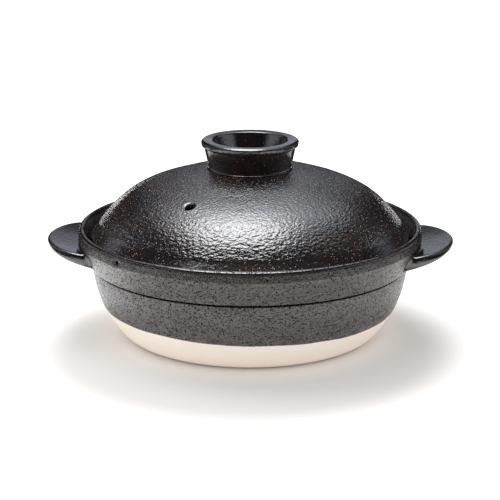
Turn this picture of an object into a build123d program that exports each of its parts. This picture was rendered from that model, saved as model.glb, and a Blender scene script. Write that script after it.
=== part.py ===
from build123d import *
import os
from math import asin, cos, degrees, radians, sin, sqrt, tan

# A lidded clay pot for the stove: a wide bowl with a flared collar, two lug handles luted to the
# collar, and a domed lid with a ring knob luted to it. Millimetres and degrees, +Z up, origin at
# the middle of the underside, handles along X.

# Bowl
pot_height = 92.0  # table to the crest of the rim
belly_radius = 132.5  # outside, just under the collar
wall = 7.0
floor_thickness = 7.0
foot_inset = 34.5  # belly radius less the radius of the flat underside
foot_ring_width = 14.0  # flat ring that the pot stands on
foot_hollow = 1.5  # rise of the underside inside that ring
heel_radius = 16.0  # rounding from the underside into the belly
heel_turn = 50.0
floor_inset = 12.0  # flat underside's radius less the flat floor's radius
floor_corner_radius = 34.0
floor_corner_turn = 62.0

# Collar, lip and gallery, whose ledge carries the lid
collar_height = 29.4  # crest down to the step under the collar
collar_overhang = 2.8  # width of that step
collar_flare = 8.5
lip_height = 9.5  # widest point of the collar up to the crest
lip_lean = 0.7
lip_width = 4.2
gallery_depth = 17.0  # crest down to the ledge
gallery_taper = 4.2  # the gallery is this much narrower at the ledge
ledge_width = 11.5
collar_edge_round = 1.2
collar_shoulder_round = 6.0
lip_outer_round = 2.0
lip_inner_round = 1.9
gallery_round = 2.0
ledge_round = 2.5

# Lid
lid_play = 1.3  # room between the lid and the foot of the gallery wall
lid_wall = 6.5
lid_edge_rise = 10.8  # ledge up to the edge of the dome
dome_rise = 57.2  # edge of the dome up to its middle
crown_radius = 230.0
crown_reach = 80.0  # the crown's arc ends this far from the axis
brim_width = 12.7  # straight slope outside the shoulder
brim_slope = 49.0
lid_edge_round = 3.5
lid_foot_width = 7.4
lid_foot_round = 1.9
lid_inner_round = 4.0
steam_hole_radius = 4.0
steam_hole_tilt = 25.4  # off the lid's axis, square to the shoulder
steam_hole_bearing = -121.0  # from +X
steam_hole_round = 0.7

# Ring knob
knob_height = 21.2  # above the middle of the dome
knob_radius = 40.0
knob_bead_height = 5.6
knob_bead_step = 2.7  # the bead stands out this much past the neck
knob_neck_taper = 4.5
knob_mouth_radius = 31.0
knob_well_taper = 7.0
knob_bead_round = 2.2
knob_mouth_round = 2.6

# Lug handles
lug_reach = 37.5  # tip past the belly
lug_half_width = 52.0
lug_outline_shift = 1.5  # the middle of the outline's ellipse is this far outside the belly
lug_root_rise = 14.2  # step up to the edge of the top face, inside the collar
lug_tip_rise = 21.3
lug_root_thickness = 11.2  # along the edge
lug_tip_thickness = 5.2
lug_root_swell = 4.2  # the underside's middle is this much lower than its edges
lug_tip_swell = 1.6
lug_dish = 1.8  # hollow of the top face
lug_edge_round = 2.4

# Places that follow from the sizes
foot_radius = belly_radius - foot_inset
floor_radius = foot_radius - floor_inset
floor_z = foot_hollow + floor_thickness
step_z = pot_height - collar_height
collar_radius = belly_radius + collar_overhang
widest_radius = collar_radius + collar_flare
lip_outer_radius = widest_radius - lip_lean
lip_inner_radius = lip_outer_radius - lip_width
gallery_radius = lip_inner_radius - gallery_taper
ledge_z = pot_height - gallery_depth
ledge_radius = gallery_radius - ledge_width
lid_radius = gallery_radius - lid_play
lid_edge_z = ledge_z + lid_edge_rise
dome_z = lid_edge_z + dome_rise
brim_radius = lid_radius - brim_width
brim_z = lid_edge_z + brim_width * tan(radians(brim_slope))
lid_foot_radius = lid_radius - lid_foot_width
knob_z = dome_z + knob_height
neck_radius = knob_radius - knob_bead_step

os.makedirs("parts", exist_ok=True)


def bowl_outside():
    """Line from the middle of the underside to the step under the collar."""
    TangentArc((0, foot_hollow), (foot_radius - foot_ring_width, 0), tangent=(1, 0))
    Line((foot_radius - foot_ring_width, 0), (foot_radius, 0))
    heel = JernArc((foot_radius, 0), (1, 0), heel_radius, heel_turn)
    TangentArc(heel @ 1, (belly_radius, step_z), tangent=heel % 1)


def collar_line(gallery_corners=(), gallery_rounds=()):
    """Line round the collar and over the lip, and on through the corners of the gallery."""
    FilletPolyline(
        (belly_radius, step_z),
        (collar_radius, step_z),
        (widest_radius, pot_height - lip_height),
        (lip_outer_radius, pot_height),
        (lip_inner_radius, pot_height),
        *gallery_corners,
        radius=[collar_edge_round, collar_shoulder_round, lip_outer_round, *gallery_rounds],
    )


def bowl_inside():
    """Line from the wall under the ledge to the middle of the floor."""
    Line((0, floor_z), (floor_radius, floor_z))
    corner = JernArc((floor_radius, floor_z), (1, 0), floor_corner_radius, floor_corner_turn)
    TangentArc(corner @ 1, (belly_radius - wall, step_z), tangent=corner % 1)


# Bowl with its collar and gallery, thrown in one piece
with BuildPart() as pot_body:
    with BuildSketch(Plane.XZ):
        with BuildLine():
            bowl_outside()
            collar_line(
                [(gallery_radius, ledge_z), (ledge_radius, ledge_z), (belly_radius - wall, step_z)],
                [lip_inner_round, gallery_round, ledge_round],
            )
            bowl_inside()
            Line((0, floor_z), (0, foot_hollow))
        make_face()
    revolve(axis=Axis.Z)

# Bowl without its hollow, which the handles are cut to
with BuildPart() as pot_blank:
    with BuildSketch(Plane.XZ):
        with BuildLine():
            bowl_outside()
            collar_line()
            Polyline((lip_inner_radius, pot_height), (0, pot_height), (0, foot_hollow))
        make_face()
    revolve(axis=Axis.Z)


def lug_slice(rise, thickness, swell):
    """Line round a slice across a handle, with its dished top face and swollen underside."""
    top = step_z + rise
    bottom = top - thickness
    ThreePointArc((-lug_half_width, top), (0, top - lug_dish), (lug_half_width, top))
    Line((lug_half_width, top), (lug_half_width, bottom))
    ThreePointArc((lug_half_width, bottom), (0, bottom - swell), (-lug_half_width, bottom))
    Line((-lug_half_width, bottom), (-lug_half_width, top))


# Lug handle on the +X side
with BuildPart() as handle_right:
    with BuildSketch(Plane.YZ.offset(belly_radius - wall)):
        with BuildLine():
            lug_slice(lug_root_rise, lug_root_thickness, lug_root_swell)
        make_face()
    with BuildSketch(Plane.YZ.offset(belly_radius + lug_reach + lug_edge_round)):
        with BuildLine():
            lug_slice(lug_tip_rise, lug_tip_thickness, lug_tip_swell)
        make_face()
    loft(ruled=True)
    with BuildSketch(Plane.XY):
        with BuildLine():
            outer_end = EllipticalCenterArc(
                (belly_radius + lug_outline_shift, 0),
                lug_reach - lug_outline_shift,
                lug_half_width,
                start_angle=-90,
                arc_size=180,
            )
            Polyline(outer_end @ 1, (0, lug_half_width), (0, -lug_half_width), outer_end @ 0)
        make_face()
    extrude(amount=pot_height, mode=Mode.INTERSECT)
    free_edges = handle_right.edges().group_by(Axis.X)[1:]
    long_edges = [edge for group in free_edges for edge in group.filter_by(Axis.Z, reverse=True)]
    fillet(long_edges, radius=lug_edge_round)
    add(pot_blank.part, mode=Mode.SUBTRACT)

# Lug handle on the -X side
with BuildPart() as handle_left:
    mirror(handle_right.part, about=Plane.YZ)


def crown_z(radius):
    """Height of the crown's outer face at a distance from the lid's axis."""
    return dome_z - crown_radius + sqrt(crown_radius**2 - radius**2)


def dome_line(depth):
    """Line over the crown and shoulder at a depth under the outer face, to the point returned."""
    crown_turn = degrees(asin(crown_reach / crown_radius))
    crown = JernArc((0, dome_z - depth), (1, 0), crown_radius - depth, -crown_turn)
    lean = radians(brim_slope)
    brim = (brim_radius - depth * sin(lean), brim_z - depth * cos(lean))
    TangentArc(crown @ 1, brim, tangent=crown % 1)
    return brim


# Place of the steam hole, on the arc of the shoulder
crown_lean = asin(crown_reach / crown_radius)
shoulder_start = Vector(crown_reach, crown_z(crown_reach))
shoulder_chord = Vector(brim_radius, brim_z) - shoulder_start
shoulder_inward = Vector(-sin(crown_lean), -cos(crown_lean))
shoulder_radius = shoulder_chord.dot(shoulder_chord) / (2 * shoulder_chord.dot(shoulder_inward))
shoulder_centre = shoulder_start + shoulder_inward * shoulder_radius
hole_tilt = radians(steam_hole_tilt)
hole_bearing = radians(steam_hole_bearing)
hole_reach = shoulder_centre.X + shoulder_radius * sin(hole_tilt)
hole_plane = Plane(
    origin=(
        hole_reach * cos(hole_bearing),
        hole_reach * sin(hole_bearing),
        shoulder_centre.Y + shoulder_radius * cos(hole_tilt),
    ),
    z_dir=(sin(hole_tilt) * cos(hole_bearing), sin(hole_tilt) * sin(hole_bearing), cos(hole_tilt)),
)

# Crown and shoulder of the domed lid, with its steam hole
with BuildPart() as lid_dome:
    with BuildSketch(Plane.XZ):
        with BuildLine():
            outer_brim = dome_line(0)
            inner_brim = dome_line(lid_wall)
            Line(outer_brim, inner_brim)
            Line((0, dome_z), (0, dome_z - lid_wall))
        make_face()
    revolve(axis=Axis.Z)
    with Locations(hole_plane):
        Hole(steam_hole_radius, depth=2 * lid_wall)
    fillet(lid_dome.edges(Select.LAST), radius=steam_hole_round)

# Brim of the same lid, which goes on down the slope of the shoulder into the foot on the ledge
with BuildPart() as lid_brim:
    with BuildSketch(Plane.XZ):
        with BuildLine():
            brim_drop = (lid_foot_radius - inner_brim[0]) * tan(radians(brim_slope))
            FilletPolyline(
                outer_brim,
                (lid_radius, lid_edge_z),
                (lid_radius, ledge_z),
                (lid_foot_radius, ledge_z),
                (lid_foot_radius, inner_brim[1] - brim_drop),
                inner_brim,
                radius=[lid_edge_round, lid_foot_round, lid_foot_round, lid_inner_round],
            )
            Line(inner_brim, outer_brim)
        make_face()
    revolve(axis=Axis.Z)

# Ring knob, whose foot follows the crown of the dome that it is luted to
neck_foot_radius = neck_radius - knob_neck_taper
well_radius = knob_mouth_radius - knob_well_taper
with BuildPart() as lid_knob:
    with BuildSketch(Plane.XZ):
        with BuildLine():
            neck_foot = (neck_foot_radius, crown_z(neck_foot_radius))
            well_foot = (well_radius, crown_z(well_radius))
            FilletPolyline(
                neck_foot,
                (neck_radius, knob_z - knob_bead_height),
                (knob_radius, knob_z - knob_bead_height),
                (knob_radius, knob_z),
                (knob_mouth_radius, knob_z),
                well_foot,
                radius=[knob_bead_step / 3, knob_bead_step / 3, knob_bead_round, knob_mouth_round],
            )
            RadiusArc(well_foot, neck_foot, crown_radius)
        make_face()
    revolve(axis=Axis.Z)

pot_body.part.label = "pot_body"
handle_right.part.label = "handle_right"
handle_left.part.label = "handle_left"
lid_dome.part.label = "lid_dome"
lid_brim.part.label = "lid_brim"
lid_knob.part.label = "lid_knob"

export_step(pot_body.part, "parts/pot_body.step")
export_step(handle_right.part, "parts/handle_right.step")
export_step(handle_left.part, "parts/handle_left.step")
export_step(lid_dome.part, "parts/lid_dome.step")
export_step(lid_brim.part, "parts/lid_brim.step")
export_step(lid_knob.part, "parts/lid_knob.step")
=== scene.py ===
from math import asin, atan2, cos, hypot, pi, radians, sin, sqrt, tan

import bpy
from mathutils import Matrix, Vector, noise


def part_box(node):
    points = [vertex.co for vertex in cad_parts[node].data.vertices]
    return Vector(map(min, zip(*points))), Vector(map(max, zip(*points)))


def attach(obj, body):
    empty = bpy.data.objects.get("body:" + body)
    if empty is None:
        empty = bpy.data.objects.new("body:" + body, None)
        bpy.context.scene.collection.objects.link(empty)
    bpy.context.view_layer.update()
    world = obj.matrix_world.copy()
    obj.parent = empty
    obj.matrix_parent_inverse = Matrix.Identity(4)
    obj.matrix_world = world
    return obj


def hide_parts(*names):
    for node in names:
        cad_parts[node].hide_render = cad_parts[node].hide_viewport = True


# A lidded clay pot under a soft studio light. Metres, +Z up, handles along X, camera on the -Y side.
MM = 0.001

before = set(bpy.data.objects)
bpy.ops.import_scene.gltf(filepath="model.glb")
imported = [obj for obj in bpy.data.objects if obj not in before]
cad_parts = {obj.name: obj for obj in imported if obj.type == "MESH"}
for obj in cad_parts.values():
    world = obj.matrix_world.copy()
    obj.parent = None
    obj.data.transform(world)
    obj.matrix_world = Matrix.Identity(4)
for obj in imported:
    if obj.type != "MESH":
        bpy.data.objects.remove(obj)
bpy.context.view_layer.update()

# Camera, as it stood for the photograph
CAMERA_PLACE = (0.040, -1.300, 0.442)
CAMERA_DIP = radians(16.01)
CAMERA_TURN = atan2(CAMERA_PLACE[0], -CAMERA_PLACE[1])
CAMERA_LENS = 115.5
SENSOR_WIDTH = 36.0


def set_camera():
    bpy.ops.object.camera_add(location=CAMERA_PLACE, rotation=(pi / 2 - CAMERA_DIP, 0, CAMERA_TURN))
    camera = bpy.context.object
    camera.name = "camera"
    camera.data.lens = CAMERA_LENS
    camera.data.sensor_width = SENSOR_WIDTH
    bpy.context.scene.camera = camera


set_camera()

# Sizes taken from the frame
brim_low, brim_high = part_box("lid_brim")
knob_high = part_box("lid_knob")[1]
crest_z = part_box("pot_body")[1].z
ledge_z = brim_low.z
lid_radius = brim_high.x
dome_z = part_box("lid_dome")[1].z
knob_radius = knob_high.x
knob_z = knob_high.z
lug_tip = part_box("handle_right")[1].x

# Bowl
BELLY_RADIUS = 132.5 * MM
WALL = 7 * MM
FOOT_RADIUS = 98 * MM
FOOT_RING_WIDTH = 14 * MM
FOOT_HOLLOW = 1.5 * MM
HEEL_RADIUS = 16 * MM
HEEL_TURN = radians(50)
FLOOR_Z = 8.5 * MM
FLOOR_RADIUS = 86 * MM
FLOOR_CORNER_RADIUS = 34 * MM
FLOOR_CORNER_TURN = radians(62)
STEP_Z = crest_z - 29.4 * MM
COLLAR_RADIUS = 134.4 * MM
WIDEST_RADIUS = 143.8 * MM
WIDEST_Z = crest_z - 9.5 * MM
LIP_RADIUS = 143.1 * MM
LIP_INNER_RADIUS = 138.9 * MM
GALLERY_RADIUS = 134.7 * MM
LEDGE_RADIUS = 123.2 * MM
STEP_ROUNDING = 0.6 * MM
FLARE_ROUNDING = 5 * MM
LIP_ROUNDING = 2.3 * MM
LIP_INNER_ROUNDING = 1.9 * MM
GALLERY_ROUNDING = 2.0 * MM
LEDGE_ROUNDING = 2.5 * MM

# Lid and knob
LID_WALL = 6.5 * MM
DOME_EDGE_Z = ledge_z + 10.8 * MM
CROWN_RADIUS = 230 * MM
CROWN_REACH = 80 * MM
CROWN_TURN = asin(CROWN_REACH / CROWN_RADIUS)
BRIM_WIDTH = 12.7 * MM
BRIM_SLOPE = radians(49)
LID_FOOT_WIDTH = 7.4 * MM
LID_EDGE_ROUNDING = 3.5 * MM
LID_FOOT_ROUNDING = 1.9 * MM
LID_HOLLOW_ROUNDING = 4 * MM
SHOULDER_FULLNESS = 1.1 * MM
SHOULDER_REACH = 104 * MM
SHOULDER_WIDTH = 36 * MM
HOLE_RADIUS = 4 * MM
HOLE_TILT = radians(25.4)
HOLE_BEARING = radians(-121)
HOLE_FLARE = 0.6 * MM
HOLE_RING_RADIUS = 1.5 * HOLE_RADIUS
HOLE_RING_WIDTH = 2.5 * MM
HOLE_RING_HEIGHT = 0.25 * MM
BEAD_HEIGHT = 5.6 * MM
BEAD_SWELL = 0.6 * MM
NECK_RADIUS = knob_radius - 2.0 * MM
NECK_FOOT_RADIUS = NECK_RADIUS - 3.8 * MM
MOUTH_RADIUS = 31 * MM
WELL_RADIUS = 24 * MM
KNOB_SINK = 0.4 * MM
KNOB_SKIRT = 2.6 * MM

# Lug handles
LUG_CENTRE = 134 * MM
LUG_HALF_WIDTH = 52 * MM
LUG_REACH = lug_tip - LUG_CENTRE
LUG_START = BELLY_RADIUS - WALL
LUG_END = lug_tip + 2.4 * MM
LUG_RISE = (14.2 * MM, 21.3 * MM)
LUG_THICKNESS = (11.2 * MM, 4.4 * MM)
LUG_SWELL = (4.2 * MM, 1.0 * MM)
LUG_DISH = 1.8 * MM
LUG_SLAB = 7 * MM
LUG_UNDERCUT = (0.955, 0.965, 1)
LUG_BEVEL = 2.3 * MM
LUG_RINGS = 13
LUG_TENON = 2.5 * MM
LUTING = 3.2 * MM

# Finger marks and slow unevenness: how far apart they are, and how far they stand out
RING_SPACING = 9 * MM
FINE_RING_SPACING = 3.2 * MM
BULGE_SPACING = 55 * MM
BOWL_MARKS = (0.10 * MM, 0.25 * MM)
LID_MARKS = (0.13 * MM, 0.3 * MM)
KNOB_MARKS = (0.08 * MM, 0.18 * MM)
LUG_UNEVENNESS = 0.25 * MM

# How finely the pieces are cut
SEGMENTS = 320
KNOB_SEGMENTS = 192
DRILL_SEGMENTS = 48
LUG_SEGMENTS = 112
FINE = 1.2 * MM
EDGE = 1.6 * MM
BROAD = 2.5 * MM
COARSE = 4 * MM
SMOOTH_ANGLE = radians(50)


# Outlines, as lists of (radius, height)


def arc_to(outline, heading, end, step=COARSE):
    """Adds an arc that leaves the outline's last point along a heading and meets the end point."""
    start = Vector(outline[-1])
    chord = Vector(end) - start
    across = Vector((-sin(heading), cos(heading)))
    radius = chord.dot(chord) / (2 * chord.dot(across))
    centre = start + across * radius
    turn = 2 * (atan2(chord.y, chord.x) - heading)
    count = max(3, round(abs(turn * radius) / step))
    for i in range(1, count + 1):
        angle = heading + turn * i / count
        outline.append(tuple(centre + radius * Vector((sin(angle), -cos(angle)))))
    return heading + turn


def bend(outline, heading, radius, turn, step=COARSE):
    """Adds an arc of a given radius and turn, which is negative for a turn to the right."""
    side = 1 if turn > 0 else -1
    start = Vector(outline[-1])
    centre = start + side * radius * Vector((-sin(heading), cos(heading)))
    count = max(4, round(abs(turn) * radius / step))
    for i in range(1, count + 1):
        angle = heading + turn * i / count
        outline.append(tuple(centre + side * radius * Vector((sin(angle), -cos(angle)))))
    return heading + turn


def rounded(corners, steps=6):
    """A line through corners (radius, height, rounding), with an arc at each rounded one."""
    line = [corners[0][:2]]
    for before, corner, after in zip(corners, corners[1:], corners[2:]):
        rounding = corner[2]
        if rounding == 0:
            line.append(corner[:2])
            continue
        here = Vector(corner[:2])
        inward = (Vector(before[:2]) - here).normalized()
        outward = (Vector(after[:2]) - here).normalized()
        half = inward.angle(outward) / 2
        centre = here + (inward + outward).normalized() * rounding / sin(half)
        first = here + inward * rounding / tan(half) - centre
        last = here + outward * rounding / tan(half) - centre
        for i in range(steps + 1):
            blend = first.slerp(last, i / steps)
            line.append(tuple(centre + blend.normalized() * rounding))
    line.append(corners[-1][:2])
    return line


def filled(line, step):
    """The same line with points added so that none are further apart than a step."""
    dense = [line[0]]
    for start, end in zip(line, line[1:]):
        count = max(1, round(hypot(end[0] - start[0], end[1] - start[1]) / step))
        for i in range(1, count + 1):
            dense.append(tuple(Vector(start).lerp(Vector(end), i / count)))
    return dense


# Modelling


def fresh():
    """Leaves nothing selected, so that the next piece is worked on alone."""
    bpy.ops.object.select_all(action="DESELECT")


def work_on(piece):
    """Selects one piece alone and makes it the active one."""
    fresh()
    piece.select_set(True)
    bpy.context.view_layer.objects.active = piece


def throw(name, outline, steps=SEGMENTS):
    """A round piece, as off a wheel: its outline is drawn point by point and spun."""
    fresh()
    bpy.ops.mesh.primitive_plane_add(size=MM, location=(outline[0][0], 0, outline[0][1]))
    piece = bpy.context.object
    piece.name = name
    bpy.ops.object.mode_set(mode="EDIT")
    bpy.ops.mesh.select_mode(type="VERT")
    bpy.ops.mesh.merge(type="CENTER")
    for start, end in zip(outline, outline[1:]):
        move = (end[0] - start[0], 0, end[1] - start[1])
        bpy.ops.mesh.extrude_vertices_move(TRANSFORM_OT_translate={"value": move})
    bpy.ops.mesh.select_all(action="SELECT")
    bpy.ops.mesh.spin(steps=steps, angle=2 * pi, center=(0, 0, 0), axis=(0, 0, 1))
    bpy.ops.mesh.select_all(action="SELECT")
    bpy.ops.mesh.remove_doubles(threshold=0.01 * MM)
    bpy.ops.mesh.normals_make_consistent(inside=False)
    bpy.ops.object.mode_set(mode="OBJECT")
    bpy.ops.object.transform_apply(location=True, rotation=True, scale=True)
    bpy.ops.object.shade_smooth_by_angle(angle=SMOOTH_ANGLE)
    return piece


def press(piece, shape):
    """Moves each point of a piece to where shape(place, normal) says."""
    normals = [vertex.normal.copy() for vertex in piece.data.vertices]
    for vertex, normal in zip(piece.data.vertices, normals):
        vertex.co = shape(vertex.co, normal)
    piece.data.update()


def ease(x):
    """0 up to 0, 1 from 1, and smooth between."""
    x = min(1, max(0, x))
    return x * x * (3 - 2 * x)


def ripple(place, along, seed):
    """Marks of the potter's fingers, from -1 to 1: rings that fade in and out round the piece."""
    angle = atan2(place.y, place.x)
    round_about = Vector((cos(angle) * 0.8, sin(angle) * 0.8, seed))
    coarse = noise.noise(round_about + Vector((0, 0, along / RING_SPACING)))
    fine = noise.noise(round_about * 2 + Vector((0, 0, along / FINE_RING_SPACING)))
    return coarse + 0.5 * fine


def unevenness(place, seed):
    """Slow bulges and hollows of a hand-finished surface, from -1 to 1."""
    return noise.noise(place / BULGE_SPACING + Vector((seed, 0, 0)))


def hand_marks(place, along, marks, seeds):
    """How far a thrown surface stands out by its finger marks and its slow unevenness."""
    return marks[0] * ripple(place, along, seeds[0]) + marks[1] * unevenness(place, seeds[1])


def part_way(ends, share):
    """The value at a share of the way between two ends."""
    return ends[0] + (ends[1] - ends[0]) * share


# Bowl

GLAZE_LINE = 26.3 * MM
GLAZE_THICKNESS = 0.45 * MM
GLAZED_INSIDE = 10.0

# Nicks in the collar: bearing in degrees, drop below the crest, and size. Each is a dent with painted shade
# inside it.
NICKS = ((-135, 5.6 * MM, 4.6 * MM), (-83, 6.4 * MM, 2.4 * MM))
NICK_DEPTH = 0.27


def glaze_line(angle):
    """Height at which the glaze stops, which wanders round the bowl."""
    tilt = 2.1 * sin(angle - 1.3)
    waves = 0.35 * sin(3 * angle + 1.1) + 0.25 * sin(7 * angle + 4) + 0.16 * sin(17 * angle)
    return GLAZE_LINE + (tilt + waves) * MM


def make_bowl():
    """The bowl as one outline: under the foot, up the side, over the lip and the ledge, and down inside."""
    under = [(0, FOOT_HOLLOW)]
    arc_to(under, 0, (FOOT_RADIUS - FOOT_RING_WIDTH, 0))
    under.append((FOOT_RADIUS, 0))
    side = [under[-1]]
    heading = bend(side, 0, HEEL_RADIUS, HEEL_TURN, FINE)
    arc_to(side, heading, (BELLY_RADIUS, STEP_Z), FINE)
    collar = rounded([
        (BELLY_RADIUS, STEP_Z, 0),
        (COLLAR_RADIUS, STEP_Z, STEP_ROUNDING),
        (WIDEST_RADIUS, WIDEST_Z, FLARE_ROUNDING),
        (LIP_RADIUS, crest_z, LIP_ROUNDING),
        (LIP_INNER_RADIUS, crest_z, LIP_INNER_ROUNDING),
        (GALLERY_RADIUS, ledge_z, GALLERY_ROUNDING),
        (LEDGE_RADIUS, ledge_z, LEDGE_ROUNDING),
        (BELLY_RADIUS - WALL, STEP_Z, 0),
    ])
    inside = [(FLOOR_RADIUS, FLOOR_Z)]
    heading = bend(inside, 0, FLOOR_CORNER_RADIUS, FLOOR_CORNER_TURN)
    arc_to(inside, heading, (BELLY_RADIUS - WALL, STEP_Z))
    floor = filled([(FLOOR_RADIUS, FLOOR_Z), (0, FLOOR_Z)], COARSE)
    outline = under + side[1:] + filled(collar, FINE)[1:] + inside[::-1][1:] + floor[1:]
    return throw("pot_body_glazed", outline)


def is_outside(place, normal):
    """Whether a point of the bowl is on its outer side, below the crest."""
    outward = normal.x * place.x + normal.y * place.y
    return outward > 0 and (normal.z < 0 or place.z > STEP_Z)


def nick_place(bearing, drop):
    """Middle of a nick on the outer side of the collar, at a drop below the crest."""
    return (WIDEST_RADIUS * cos(radians(bearing)), WIDEST_RADIUS * sin(radians(bearing)), crest_z - drop)


def finish_bowl(bowl):
    """Gives the bowl its finger marks, its nicks and a coat of glaze that stops in a wavy line."""
    def surface(place, normal):
        moved = place.copy()
        if is_outside(place, normal):
            wear = ease((place.z - 2 * MM) / (8 * MM))
            moved += normal * wear * hand_marks(place, place.z, BOWL_MARKS, (3, 5))
            line = glaze_line(atan2(place.y, place.x))
            moved += normal * GLAZE_THICKNESS * (ease((place.z - line) / (0.8 * MM)) - 1)
        for bearing, drop, size in NICKS:
            dent = 1 - (place - Vector(nick_place(bearing, drop))).length / size
            moved -= normal * NICK_DEPTH * size * ease(dent)
        return moved

    rises = []
    for vertex in bowl.data.vertices:
        line = glaze_line(atan2(vertex.co.y, vertex.co.x))
        inside = vertex.normal.z > 0.001 and vertex.co.z > FOOT_HOLLOW * 2
        rises.append(GLAZED_INSIDE if inside else (vertex.co.z - line) / MM)
    press(bowl, surface)
    rise = bowl.data.attributes.new("glaze_rise", "FLOAT", "POINT")
    rise.data.foreach_set("value", rises)
    return bowl


# Lid


def brim_top(depth):
    """Radius and height where the dome meets the sloped brim, at a depth under the outer face."""
    height = DOME_EDGE_Z + BRIM_WIDTH * tan(BRIM_SLOPE)
    return lid_radius - BRIM_WIDTH - depth * sin(BRIM_SLOPE), height - depth * cos(BRIM_SLOPE)


def dome_outline(depth):
    """Outline of the dome from its middle to the brim, at a depth under the outer face."""
    outline = [(0, dome_z - depth)]
    heading = bend(outline, 0, CROWN_RADIUS - depth, -CROWN_TURN, BROAD)
    arc_to(outline, heading, brim_top(depth), EDGE)
    return outline


def dome_height(radius):
    """Height of the crown's outer face, near the middle of the lid."""
    return dome_z - CROWN_RADIUS + sqrt(CROWN_RADIUS**2 - radius**2)


def make_lid():
    """The lid as one outline: over the dome, down the brim, round the foot and back under the dome."""
    outer = dome_outline(0)
    inner = dome_outline(LID_WALL)
    foot_inner = lid_radius - LID_FOOT_WIDTH
    drop = (foot_inner - inner[-1][0]) * tan(BRIM_SLOPE)
    edge = rounded([
        (*outer[-1], 0),
        (lid_radius, DOME_EDGE_Z, LID_EDGE_ROUNDING),
        (lid_radius, ledge_z, LID_FOOT_ROUNDING),
        (foot_inner, ledge_z, LID_FOOT_ROUNDING),
        (foot_inner, inner[-1][1] - drop, LID_HOLLOW_ROUNDING),
        (*inner[-1], 0),
    ])
    return throw("lid_dome_glazed", outer + filled(edge, EDGE)[1:] + inner[::-1][1:])


def hole_place():
    """Middle of the steam hole on the dome's outer face, and the way the hole points."""
    start = Vector((CROWN_REACH, dome_height(CROWN_REACH)))
    chord = Vector(brim_top(0)) - start
    inward = Vector((-sin(CROWN_TURN), -cos(CROWN_TURN)))
    radius = chord.length_squared / (2 * chord.dot(inward))
    centre = start + inward * radius
    reach = centre.x + radius * sin(HOLE_TILT)
    height = centre.y + radius * cos(HOLE_TILT)
    flat = Vector((cos(HOLE_BEARING), sin(HOLE_BEARING), 0))
    return flat * reach + Vector((0, 0, height)), flat * sin(HOLE_TILT) + Vector((0, 0, cos(HOLE_TILT)))


def finish_lid(lid):
    """Gives the lid its finger marks, and a steam hole with a soft raised edge."""
    place, way = hole_place()

    def surface(point, normal):
        moved = point.copy()
        if normal.z > 0.1 and point.z > DOME_EDGE_Z:
            reach = hypot(point.x, point.y)
            wear = ease((lid_radius - reach) / (10 * MM))
            moved += normal * wear * hand_marks(point, reach, LID_MARKS, (11, 2))
            shoulder = 1 - abs(reach - SHOULDER_REACH) / SHOULDER_WIDTH
            ring = 1 - abs((point - place).length - HOLE_RING_RADIUS) / HOLE_RING_WIDTH
            moved += normal * (SHOULDER_FULLNESS * ease(shoulder) + HOLE_RING_HEIGHT * ease(ring))
        return moved

    press(lid, surface)
    bottom = -2 * LID_WALL
    top = 3 * MM
    outline = [(0, bottom), (HOLE_RADIUS, bottom), (HOLE_RADIUS, -HOLE_FLARE)]
    bend(outline, pi / 2, HOLE_FLARE, -pi / 2, HOLE_FLARE / 2)
    shank = HOLE_RADIUS + 3 * HOLE_FLARE
    outline += [(shank, 0.8 * MM), (shank, top), (0, top)]
    drill = throw("drill", outline, steps=DRILL_SEGMENTS)
    drill.rotation_mode = "QUATERNION"
    drill.rotation_quaternion = way.to_track_quat("Z", "Y")
    drill.location = place
    cut = lid.modifiers.new("steam_hole", "BOOLEAN")
    cut.object = drill
    cut.operation = "DIFFERENCE"
    cut.solver = "EXACT"
    work_on(lid)
    bpy.ops.object.modifier_apply(modifier=cut.name)
    bpy.ops.object.shade_smooth_by_angle(angle=SMOOTH_ANGLE)
    bpy.data.objects.remove(drill)
    return lid


# Knob


def make_knob():
    """The ring knob, with a bead round its top and a soft fillet where it was luted on."""
    floor = WELL_RADIUS - 2 * MM
    floor_z = dome_height(WELL_RADIUS)
    skirt = NECK_FOOT_RADIUS + KNOB_SKIRT
    ring = rounded([
        (floor, floor_z - KNOB_SINK, 0),
        (skirt, dome_height(skirt) - KNOB_SINK, 0),
        (skirt, dome_height(skirt), 0),
        (NECK_FOOT_RADIUS, dome_height(NECK_FOOT_RADIUS) + 0.25 * MM, 2.2 * MM),
        (NECK_RADIUS, knob_z - BEAD_HEIGHT, 1.0 * MM),
        (knob_radius, knob_z - BEAD_HEIGHT + 0.9 * MM, 1.0 * MM),
        (knob_radius + BEAD_SWELL, knob_z - 1.5 * MM, 1.2 * MM),
        (knob_radius - 2 * BEAD_SWELL, knob_z + 0.2 * MM, 1.6 * MM),
        (MOUTH_RADIUS, knob_z - 0.2 * MM, 1.8 * MM),
        (WELL_RADIUS, floor_z + 0.3 * MM, 3 * MM),
        (floor, floor_z, 0),
        (floor, floor_z - KNOB_SINK, 0),
    ])
    knob = throw("lid_knob_glazed", filled(ring, FINE), steps=KNOB_SEGMENTS)

    def surface(place, normal):
        if place.z < dome_height(skirt) + 2 * MM:
            return place
        return place + normal * hand_marks(place, place.z, KNOB_MARKS, (21, 9))

    press(knob, surface)
    return knob


# Handles


def lug_faces(x, y):
    """Heights of a handle's top face and underside over a point of its plan, on the +X side."""
    share = (x - LUG_START) / (LUG_END - LUG_START)
    hollow = max(0, 1 - (y / LUG_HALF_WIDTH) ** 2)
    edge = STEP_Z + part_way(LUG_RISE, share)
    swell = part_way(LUG_SWELL, share) * hollow
    return edge - LUG_DISH * hollow, edge - part_way(LUG_THICKNESS, share) - swell


def collar_reach(z):
    """Radius of the collar's outer face at a height."""
    return part_way((COLLAR_RADIUS, WIDEST_RADIUS), max(0, z - STEP_Z) / (WIDEST_Z - STEP_Z))


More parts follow.
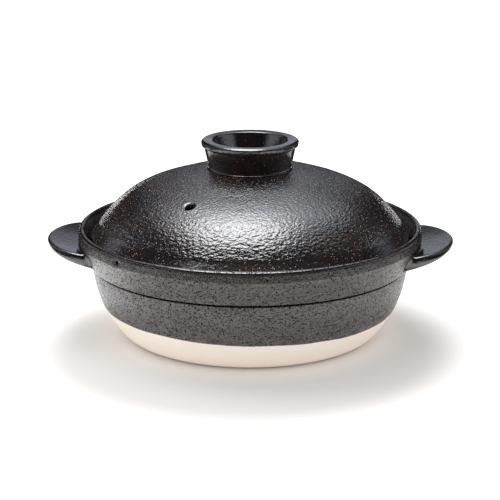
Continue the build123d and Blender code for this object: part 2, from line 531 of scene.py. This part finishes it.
def select_faces(piece, wanted):
    """Selects, in edit mode, the faces whose middle and normal are wanted."""
    bpy.ops.object.mode_set(mode="OBJECT")
    for face in piece.data.polygons:
        face.select = wanted(face.center, face.normal)
    bpy.ops.object.mode_set(mode="EDIT")


def make_lug(name, side, seed):
    """A lug handle: an oval slab, bevelled, thinned to its tip, dished on top and run into the collar."""
    fresh()
    bpy.ops.mesh.primitive_cylinder_add(vertices=LUG_SEGMENTS, radius=1, depth=LUG_SLAB)
    piece = bpy.context.object
    piece.name = name
    bpy.ops.object.mode_set(mode="EDIT")
    bpy.ops.mesh.select_mode(type="FACE")
    bpy.ops.mesh.select_all(action="SELECT")
    bpy.ops.transform.resize(value=(LUG_REACH, LUG_HALF_WIDTH, 1))
    select_faces(piece, lambda middle, normal: normal.z < -0.9)
    bpy.ops.transform.resize(value=LUG_UNDERCUT, center_override=(0, 0, 0))
    select_faces(piece, lambda middle, normal: abs(normal.z) > 0.9)
    bpy.ops.mesh.bevel(offset=LUG_BEVEL, offset_type="OFFSET", segments=6)
    for way in (1, -1):
        select_faces(piece, lambda middle, normal: middle.z * way > 0 and middle.length < LUG_SLAB)
        for ring in range(LUG_RINGS):
            shrink = 1 - 1 / (LUG_RINGS + 1 - ring)
            bpy.ops.mesh.inset(thickness=0)
            bpy.ops.transform.resize(value=(shrink, shrink, 1), center_override=(0, 0, 0))
        bpy.ops.mesh.merge(type="CENTER")
    bpy.ops.mesh.select_all(action="SELECT")
    bpy.ops.transform.translate(value=(LUG_CENTRE, 0, 0))
    bpy.ops.mesh.bisect(plane_co=(LUG_START, 0, 0), plane_no=(1, 0, 0), use_fill=True, clear_inner=True)
    bpy.ops.object.mode_set(mode="OBJECT")
    smoothing = piece.modifiers.new("smoothing", "SUBSURF")
    smoothing.levels = smoothing.render_levels = 1
    bpy.ops.object.modifier_apply(modifier=smoothing.name)
    reach = max(vertex.co.x for vertex in piece.data.vertices) - LUG_CENTRE
    half = max(vertex.co.y for vertex in piece.data.vertices)

    def bent(place, normal):
        """Fits the slab to the oval's plan and lays it between the handle's two faces."""
        x = LUG_CENTRE + (place.x - LUG_CENTRE) * (LUG_REACH / reach if place.x > LUG_CENTRE else 1)
        y = place.y * LUG_HALF_WIDTH / half
        top, under = lug_faces(x, y)
        return Vector((x, y, under + (top - under) * (place.z / LUG_SLAB + 0.5)))

    def luted(place, normal):
        """Flares the handle where it was luted to the collar, more above than below."""
        gap = hypot(place.x, place.y) - collar_reach(place.z)
        near = min(1, max(0, 1 - gap / LUTING))
        flare = LUTING * (1 - sqrt(1 - near * near)) * ease((gap + LUG_TENON) / LUG_TENON)
        flare *= 0.3 + 0.7 * ease(0.5 + normal.z)
        return place + normal * (flare + LUG_UNEVENNESS * unevenness(place * 1.6, seed))

    def tucked(place, normal):
        """Keeps what is inside the collar within its wall."""
        radius = hypot(place.x, place.y)
        depth = collar_reach(place.z) - radius
        kept = min(depth, LUG_TENON + 0.12 * (depth - LUG_TENON))
        scale = (radius + depth - kept) / radius
        return Vector((place.x * scale, place.y * scale, place.z))

    press(piece, bent)
    press(piece, luted)
    press(piece, tucked)
    work_on(piece)
    if side < 0:
        bpy.ops.transform.mirror(constraint_axis=(True, False, False), center_override=(0, 0, 0))
        bpy.ops.object.transform_apply(location=True, rotation=True, scale=True)
        bpy.ops.object.mode_set(mode="EDIT")
        bpy.ops.mesh.select_all(action="SELECT")
        bpy.ops.mesh.normals_make_consistent(inside=False)
        bpy.ops.object.mode_set(mode="OBJECT")
    bpy.ops.object.shade_smooth_by_angle(angle=SMOOTH_ANGLE)
    return piece


# Shader maths as Python expressions


SEEN_RAYS = ("Camera", "Glossy", "Transmission")


class Value:
    """A socket of a material that is being put together. Arithmetic on it adds Math nodes."""

    def __init__(self, paint, socket):
        self.paint = paint
        self.socket = socket

    def maths(self, operation, *inputs):
        return self.paint.node("ShaderNodeMath", {"operation": operation}, dict(enumerate(inputs)))

    def __add__(self, other):
        return self.maths("ADD", self, other)

    def __sub__(self, other):
        return self.maths("SUBTRACT", self, other)

    def __mul__(self, other):
        return self.maths("MULTIPLY", self, other)

    def __radd__(self, other):
        return self.maths("ADD", other, self)

    def __rsub__(self, other):
        return self.maths("SUBTRACT", other, self)

    def __rmul__(self, other):
        return self.maths("MULTIPLY", other, self)

    def between(self, low, high):
        """0 where the value is at low, 1 where it is at high, and smooth between."""
        settings = {"interpolation_type": "SMOOTHSTEP", "clamp": True}
        return self.paint.node("ShaderNodeMapRange", settings, {0: self, 1: low, 2: high, 3: 0, 4: 1})


class Paint:
    """The nodes of a material, or of the world, while it is put together."""

    def __init__(self, owner):
        self.owner = owner
        owner.use_nodes = True
        self.tree = owner.node_tree
        self.tree.nodes.clear()

    def node(self, kind, settings=None, inputs=None, output=0):
        """Adds a node with its settings, then the values or links of its inputs; gives one output."""
        node = self.tree.nodes.new(kind)
        for name, value in (settings or {}).items():
            setattr(node, name, value)
        for name, value in (inputs or {}).items():
            found = [socket for socket in node.inputs if socket.identifier == name]
            socket = node.inputs[name] if not found else found[0]
            if isinstance(value, Value):
                self.tree.links.new(value.socket, socket)
            else:
                socket.default_value = value
        return Value(self, node.outputs[output]) if node.outputs else None

    def here(self):
        return self.node("ShaderNodeTexCoord", output="Object")

    def vectors(self, operation, *inputs, output=0):
        return self.node("ShaderNodeVectorMath", {"operation": operation}, dict(enumerate(inputs)), output)

    def stretched(self, vector, scale):
        return self.vectors("MULTIPLY", vector, scale)

    def along(self, vector, axis):
        return self.node("ShaderNodeSeparateXYZ", {}, {0: vector}, axis)

    def from_axis(self, here):
        """Distance from the axis of the pot."""
        flat = self.stretched(here, (1, 1, 0))
        return self.vectors("LENGTH", flat, output="Value")

    def wheel(self, here, girth):
        """A place as seen from the wheel: round the pot, drawn in to a girth, and out from its axis."""
        flat = self.stretched(here, (1, 1, 0))
        way = self.vectors("NORMALIZE", flat)
        out = self.node("ShaderNodeCombineXYZ", {}, {2: self.from_axis(here)})
        return self.vectors("ADD", self.stretched(way, (girth,) * 3), out)

    def grain(self, vector, size, detail=2.0, roughness=0.5):
        """Noise from 0 to 1 whose blots are about a size across."""
        inputs = {"Vector": vector, "Scale": 1 / size, "Detail": detail, "Roughness": roughness}
        return self.node("ShaderNodeTexNoise", {}, inputs)

    def spots(self, vector, pitch):
        """Distance to the nearest of many scattered points, as a share of their pitch, and its number."""
        inputs = {"Vector": vector, "Scale": 1 / pitch}
        distance = self.node("ShaderNodeTexVoronoi", {}, inputs, "Distance")
        tint = Value(self, distance.socket.node.outputs["Color"])
        number = self.node("ShaderNodeSeparateColor", {}, {0: tint}, "Red")
        return distance, number

    def mix(self, share, first, second):
        inputs = {"Factor_Float": share, "A_Color": first, "B_Color": second}
        return self.node("ShaderNodeMix", {"data_type": "RGBA"}, inputs, 2)

    def bump(self, height, depth):
        return self.node("ShaderNodeBump", {}, {"Height": height, "Distance": depth, "Strength": 1.0})

    def surface(self, inputs):
        return self.node("ShaderNodeBsdfPrincipled", {}, inputs)

    def glowing(self, light):
        """A surface that shows nothing but its own light."""
        return self.surface({
            "Base Color": BLACK,
            "Roughness": 1.0,
            "Specular IOR Level": 0.0,
            "Emission Color": light,
            "Emission Strength": 1.0,
        })

    def finish(self, shader, kind="ShaderNodeOutputMaterial"):
        self.node(kind, {}, {"Surface": shader})
        return self.owner

    def seen(self, low, high):
        """A strength for the rays that light the pot, and one for those that show the studio itself."""
        rays = [self.node("ShaderNodeLightPath", output=f"Is {kind} Ray") for kind in SEEN_RAYS]
        share = rays[0]
        for ray in rays[1:]:
            share = share.maths("MAXIMUM", share, ray)
        return low + share * (high - low)


def colour(red, green, blue):
    return (red, green, blue, 1)


def grey(level):
    return colour(level, level, level)


# Colours of the clay and the glazes

BLACK = grey(0)
GLAZE_BROWN = colour(0.019, 0.011, 0.009)
GLAZE_BLACK = colour(0.010, 0.008, 0.008)
GLAZE_UMBER = colour(0.012, 0.007, 0.006)
GLAZE_GREY = colour(0.074, 0.066, 0.060)
GLAZE_RUST = colour(0.060, 0.038, 0.022)
SAND_SPECK = colour(0.66, 0.60, 0.54)
# A glaze black on the knob and handles, and the black of the painted shade in the bowl's pits, nicks and
# under its collar step.
GLAZE_AND_SHADE_BLACK = colour(0.004, 0.003, 0.003)
CLAY_CREAM = colour(0.96, 0.87, 0.77)
CLAY_PINK = colour(0.95, 0.83, 0.73)
GLAZE_IOR = 2.0

# Patterns in the glazes: how far apart their marks are, and how deep their relief is
WHEEL_GIRTH = 50 * MM
WHEEL_MARK = 1.3 * MM
SPECK_PITCH = 1.25 * MM
PIT_PITCH = 1.45 * MM
GLOSS_SPECK_PITCH = 2.2 * MM
LID_RELIEF = 0.58 * MM
BOWL_RELIEF = 0.28 * MM
GLOSS_RELIEF = 0.16 * MM
CLAY_RELIEF = 0.12 * MM


def lid_glaze():
    """Brown-black glaze over the marks of the wheel, with fine pale specks, calmer towards its rim."""
    paint = Paint(bpy.data.materials.new("lid_glaze"))
    here = paint.here()
    cloud = paint.grain(here, 30 * MM, 3)
    fine = paint.grain(here, 0.9 * MM, 2)
    wheel_marks = paint.grain(paint.wheel(here, WHEEL_GIRTH), WHEEL_MARK, 1, 0.5)
    distance, number = paint.spots(here, SPECK_PITCH)
    speck = (0.32 * number * number - distance).between(-0.02, 0.08)
    base = paint.mix(cloud.between(0.35, 0.65), GLAZE_BROWN, GLAZE_BLACK)
    base = paint.mix(speck * fine.between(0.3, 0.6), base, SAND_SPECK)
    calm = paint.from_axis(here).between(lid_radius - 10 * MM, lid_radius - 6 * MM)
    height = (wheel_marks + 0.16 * fine) * (1 - 0.75 * calm) + 0.1 * speck
    return paint.finish(paint.surface({
        "Base Color": base,
        "Roughness": 0.13 + 0.06 * cloud,
        "IOR": GLAZE_IOR,
        "Normal": paint.bump(height, LID_RELIEF),
    }))


def bowl_glaze():
    """Satin iron glaze with pin pits over bare cream clay, which shows below the glaze line, and painted
    shade in the pits, the nicks and under the collar's step.
    """
    paint = Paint(bpy.data.materials.new("bowl_glaze_and_clay"))
    here = paint.here()
    height = paint.along(here, "Z")
    rise = paint.node("ShaderNodeAttribute", {"attribute_name": "glaze_rise"}, output="Fac")
    ragged = paint.grain(here, 2.5 * MM, 4, 0.7)
    above = rise + (ragged - 0.5) * 1.1
    covered = above.between(-0.12, 0.12)

    drawn = paint.stretched(here, (1, 1, 1.5))
    streaks = paint.grain(paint.stretched(here, (1, 1, 6)), 14 * MM, 4, 0.6)
    cloud = paint.grain(here, 35 * MM, 3)
    fine = paint.grain(drawn, 1.1 * MM, 2, 0.6)
    distance, number = paint.spots(drawn, PIT_PITCH)
    pit = (0.17 + 0.37 * number - distance).between(0, 0.07) * (number - 0.18).between(0, 0.05)
    glaze = paint.mix((0.4 * streaks + 0.6 * fine).between(0.4, 0.6), GLAZE_BLACK, GLAZE_GREY)
    lip = height.between(crest_z - 4 * MM, crest_z - 1 * MM)
    glaze = paint.mix(lip, glaze, GLAZE_UMBER)
    glaze = paint.mix(1 - above.between(0.2, 1.6), glaze, GLAZE_RUST)
    relief = (streaks * 0.3 + fine - 0.8 * pit) * (1 - 0.7 * lip)
    skin = paint.surface({
        "Base Color": glaze,
        "Roughness": (0.22 + 0.10 * cloud) * (1 - 0.6 * lip),
        "IOR": GLAZE_IOR,
        "Normal": paint.bump(relief, BOWL_RELIEF),
    })
    # A black surface without sheen, for painted shade: in the pin pits, in the nicks and in a band under
    # the collar's step.
    hollow = paint.surface({"Base Color": GLAZE_AND_SHADE_BLACK, "Roughness": 0.9, "Specular IOR Level": 0.0})
    outside = paint.from_axis(here).between(BELLY_RADIUS - 5 * MM, BELLY_RADIUS - 3 * MM)
    # Painted shade: a dark band on the bowl just under the collar's step, where the collar's overhang
    # shades it.
    under_step = height.between(STEP_Z - 2.6 * MM, STEP_Z - 1.7 * MM)
    crease_shade = outside * under_step * (1 - height.between(STEP_Z, STEP_Z + 0.4 * MM))
    # The pin pits are real dents in the relief. The black drawn in them is partly painted shade.
    dark = crease_shade.maths("MAXIMUM", crease_shade, pit * 0.95)
    # Painted shade inside each nick's dent.
    for bearing, drop, size in NICKS:
        away = paint.vectors("DISTANCE", here, nick_place(bearing, drop), output="Value")
        dark = dark.maths("MAXIMUM", dark, 1 - away.between(0.35 * size, 0.6 * size))
    coat = paint.node("ShaderNodeMixShader", {}, {0: dark, 1: skin, 2: hollow})

    grit = paint.grain(here, 0.8 * MM, 3, 0.7)
    blush = 1 - height.between(2 * MM, 20 * MM)
    clay = paint.mix(blush, CLAY_CREAM, CLAY_PINK)
    clay = paint.mix(grit.between(0.66, 0.78) * 0.15, clay, GLAZE_RUST)
    bare = paint.surface({
        "Base Color": clay,
        "Roughness": 0.85,
        "Normal": paint.bump(grit, CLAY_RELIEF),
    })
    return paint.finish(paint.node("ShaderNodeMixShader", {}, {0: covered, 1: bare, 2: coat}))


def gloss_glaze():
    """Glossier glaze of the knob and the handles, with a little orange peel and few specks."""
    paint = Paint(bpy.data.materials.new("gloss_glaze"))
    here = paint.here()
    cloud = paint.grain(here, 18 * MM, 3)
    peel = paint.grain(here, 3.0 * MM, 2)
    distance, number = paint.spots(here, GLOSS_SPECK_PITCH)
    speck = (0.20 * number * number - distance).between(-0.02, 0.05)
    base = paint.mix(cloud.between(0.35, 0.65), GLAZE_UMBER, GLAZE_AND_SHADE_BLACK)
    base = paint.mix(speck * 0.3, base, SAND_SPECK)
    return paint.finish(paint.surface({
        "Base Color": base,
        "Roughness": 0.11 + 0.08 * cloud,
        "IOR": GLAZE_IOR,
        "Normal": paint.bump(peel, GLOSS_RELIEF),
    }))


def place_piece(piece, material, body, nodes):
    """Glazes a piece, hangs it on the body it rides on, and hides the nodes it stands in for."""
    piece.data.materials.clear()
    piece.data.materials.append(material)
    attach(piece, body)
    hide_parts(*nodes)


gloss = gloss_glaze()
place_piece(finish_bowl(make_bowl()), bowl_glaze(), "pot", ["pot_body"])
place_piece(make_lug("handle_right_glazed", 1, 31), gloss, "pot", ["handle_right"])
place_piece(make_lug("handle_left_glazed", -1, 37), gloss, "pot", ["handle_left"])
place_piece(finish_lid(make_lid()), lid_glaze(), "lid", ["lid_dome", "lid_brim"])
place_piece(make_knob(), gloss, "lid", ["lid_knob"])


# Studio: a white table under a soft light, in a dark tent that only reflections see

LIGHT_SIZE = (1.0, 0.85)
LIGHT_PLACE = (-0.75, 0.32, 1.2)
LIGHT_POWER = 7.5
FILL_STRENGTH = 1.0
FLOOR_SIZE = 30
FLOOR_LIT = colour(0.96, 0.95, 0.94)
FLOOR_SEEN = colour(0.77, 0.755, 0.74)
NEAR_GLOW = grey(0.045)
FAR_GLOW = grey(0.60)
GLOW_SHIFT = (0, 50 * MM, 0)
GLOW_START = 140 * MM
GLOW_END = 205 * MM
TENT_RADIUS = 3.0
TENT_DARK = colour(0.022, 0.022, 0.024)
TENT_BLUE = colour(0.71, 0.75, 0.85)
TENT_GLOW = colour(1.56, 1.65, 1.83)
TENT_WHITE = grey(1)
SOFT_BOX = colour(8.6, 8.7, 8.8)
GLOW_WAY = (0, 0.30, 0.954)
BRIGHT_CARD = grey(1.90)
EDGE_CARD = grey(4.2)

# Cards on the table: name, two opposite corners, light, and height above the table
CARDS = (
    ("dark_table_front", (-2.5, -2.4), (2.5, -0.30), TENT_DARK, 1 * MM),
    ("dark_table_back", (-2.5, 0.30), (2.5, 2.9), TENT_DARK, 1 * MM),
    ("dark_table_left", (-2.5, -0.30), (-0.36, 0.30), TENT_DARK, 1 * MM),
    ("dark_table_right", (0.34, -0.30), (2.5, 0.30), TENT_DARK, 1 * MM),
    ("edge_card_left", (-0.60, 0.9), (-0.33, 1.6), EDGE_CARD, 3 * MM),
    ("edge_card_right", (0.36, 0.9), (0.56, 1.6), EDGE_CARD, 3 * MM),
    ("bright_card", (-0.36, -0.14), (-0.155, 0.29), BRIGHT_CARD, 1 * MM),
)


def make_world():
    """White all round, as a light and as a background."""
    world = bpy.data.worlds.new("studio")
    bpy.context.scene.world = world
    paint = Paint(world)
    inputs = {"Color": grey(1), "Strength": paint.seen(FILL_STRENGTH, 1)}
    paint.finish(paint.node("ShaderNodeBackground", {}, inputs), "ShaderNodeOutputWorld")


def make_floor():
    """A white table that takes the pot's shadow, and looks evenly pale further out."""
    fresh()
    bpy.ops.mesh.primitive_plane_add(size=FLOOR_SIZE, location=(0, 0, 0))
    floor = bpy.context.object
    floor.name = "studio_floor"
    paint = Paint(bpy.data.materials.new("floor_white"))
    shifted = paint.vectors("ADD", paint.here(), GLOW_SHIFT)
    away = paint.from_axis(shifted).between(GLOW_START, GLOW_END)
    white = paint.surface({
        "Base Color": paint.mix(paint.seen(0, 1), FLOOR_LIT, FLOOR_SEEN),
        "Roughness": 1.0,
        "Specular IOR Level": 0.0,
        "Emission Color": paint.mix(away, NEAR_GLOW, FAR_GLOW),
        "Emission Strength": paint.seen(0, 1),
    })
    floor.data.materials.append(paint.finish(white))


def only_mirrored(piece):
    """Leaves a piece of the studio to reflections alone, so that it neither shows nor takes light away."""
    piece.visible_camera = False
    piece.visible_diffuse = False
    piece.visible_shadow = False
    piece.visible_transmission = False


def make_tent():
    """Dark cloth with a soft box overhead, a bluish glow above and behind, and pale bands at the sides."""
    fresh()
    bpy.ops.mesh.primitive_uv_sphere_add(segments=96, ring_count=48, radius=TENT_RADIUS)
    tent = bpy.context.object
    tent.name = "tent"
    paint = Paint(bpy.data.materials.new("tent_cloth"))
    way = paint.stretched(paint.here(), (1 / TENT_RADIUS,) * 3)
    behind, up = paint.along(way, "Y"), paint.along(way, "Z")
    overhead = paint.vectors("DOT_PRODUCT", way, GLOW_WAY, output="Value")
    sideways = paint.along(way, "X")
    aside = sideways * sideways
    middle = 1 - aside.between(0.02, 0.10)
    low = up.between(0.10, 0.22) * (1 - up.between(0.20, 0.42))
    cloth = paint.mix(middle * behind.between(0.5, 0.9) * low, TENT_DARK, TENT_BLUE)
    cloth = paint.mix(overhead.between(0.71, 0.97), cloth, TENT_GLOW)
    rim = aside.between(0.30, 0.60) * behind.between(-0.3, 0.1)
    cloth = paint.mix(rim * (1 - up.between(0.06, 0.16)), cloth, TENT_WHITE)
    beside = up.between(0.2, 0.32) * (1 - up.between(0.38, 0.5))
    cloth = paint.mix(aside.between(0.45, 0.75) * beside, cloth, TENT_BLUE)
    leftward = sideways + 0.09
    box = (1 - (leftward * leftward).between(0.01, 0.20)) * behind.between(-0.34, -0.26)
    cloth = paint.mix(box * (1 - behind.between(0.10, 0.40)) * up.between(0, 0.5), cloth, SOFT_BOX)
    tent.data.materials.append(paint.finish(paint.glowing(cloth)))
    only_mirrored(tent)


def table_card(name, corner, far_corner, light, height):
    """A card on the table, for reflections alone: dark where the table ends, or bright to light a side."""
    fresh()
    middle = ((corner[0] + far_corner[0]) / 2, (corner[1] + far_corner[1]) / 2, height)
    bpy.ops.mesh.primitive_plane_add(size=1, location=middle)
    card = bpy.context.object
    card.name = name
    card.scale = (far_corner[0] - corner[0], far_corner[1] - corner[1], 1)
    paint = Paint(bpy.data.materials.new(name))
    card.data.materials.append(paint.finish(paint.glowing(light)))
    only_mirrored(card)


def make_light():
    """A soft light from the left that gives the pot its shadow, and isn't mirrored in the glaze."""
    bpy.ops.object.light_add(type="AREA", location=LIGHT_PLACE)
    lamp = bpy.context.object
    lamp.name = "soft_light"
    lamp.data.shape = "RECTANGLE"
    lamp.data.size, lamp.data.size_y = LIGHT_SIZE
    lamp.data.energy = LIGHT_POWER
    lamp.visible_glossy = False


make_world()
make_floor()
make_tent()
for card in CARDS:
    table_card(*card)
make_light()

bpy.context.scene.view_settings.view_transform = "Standard"
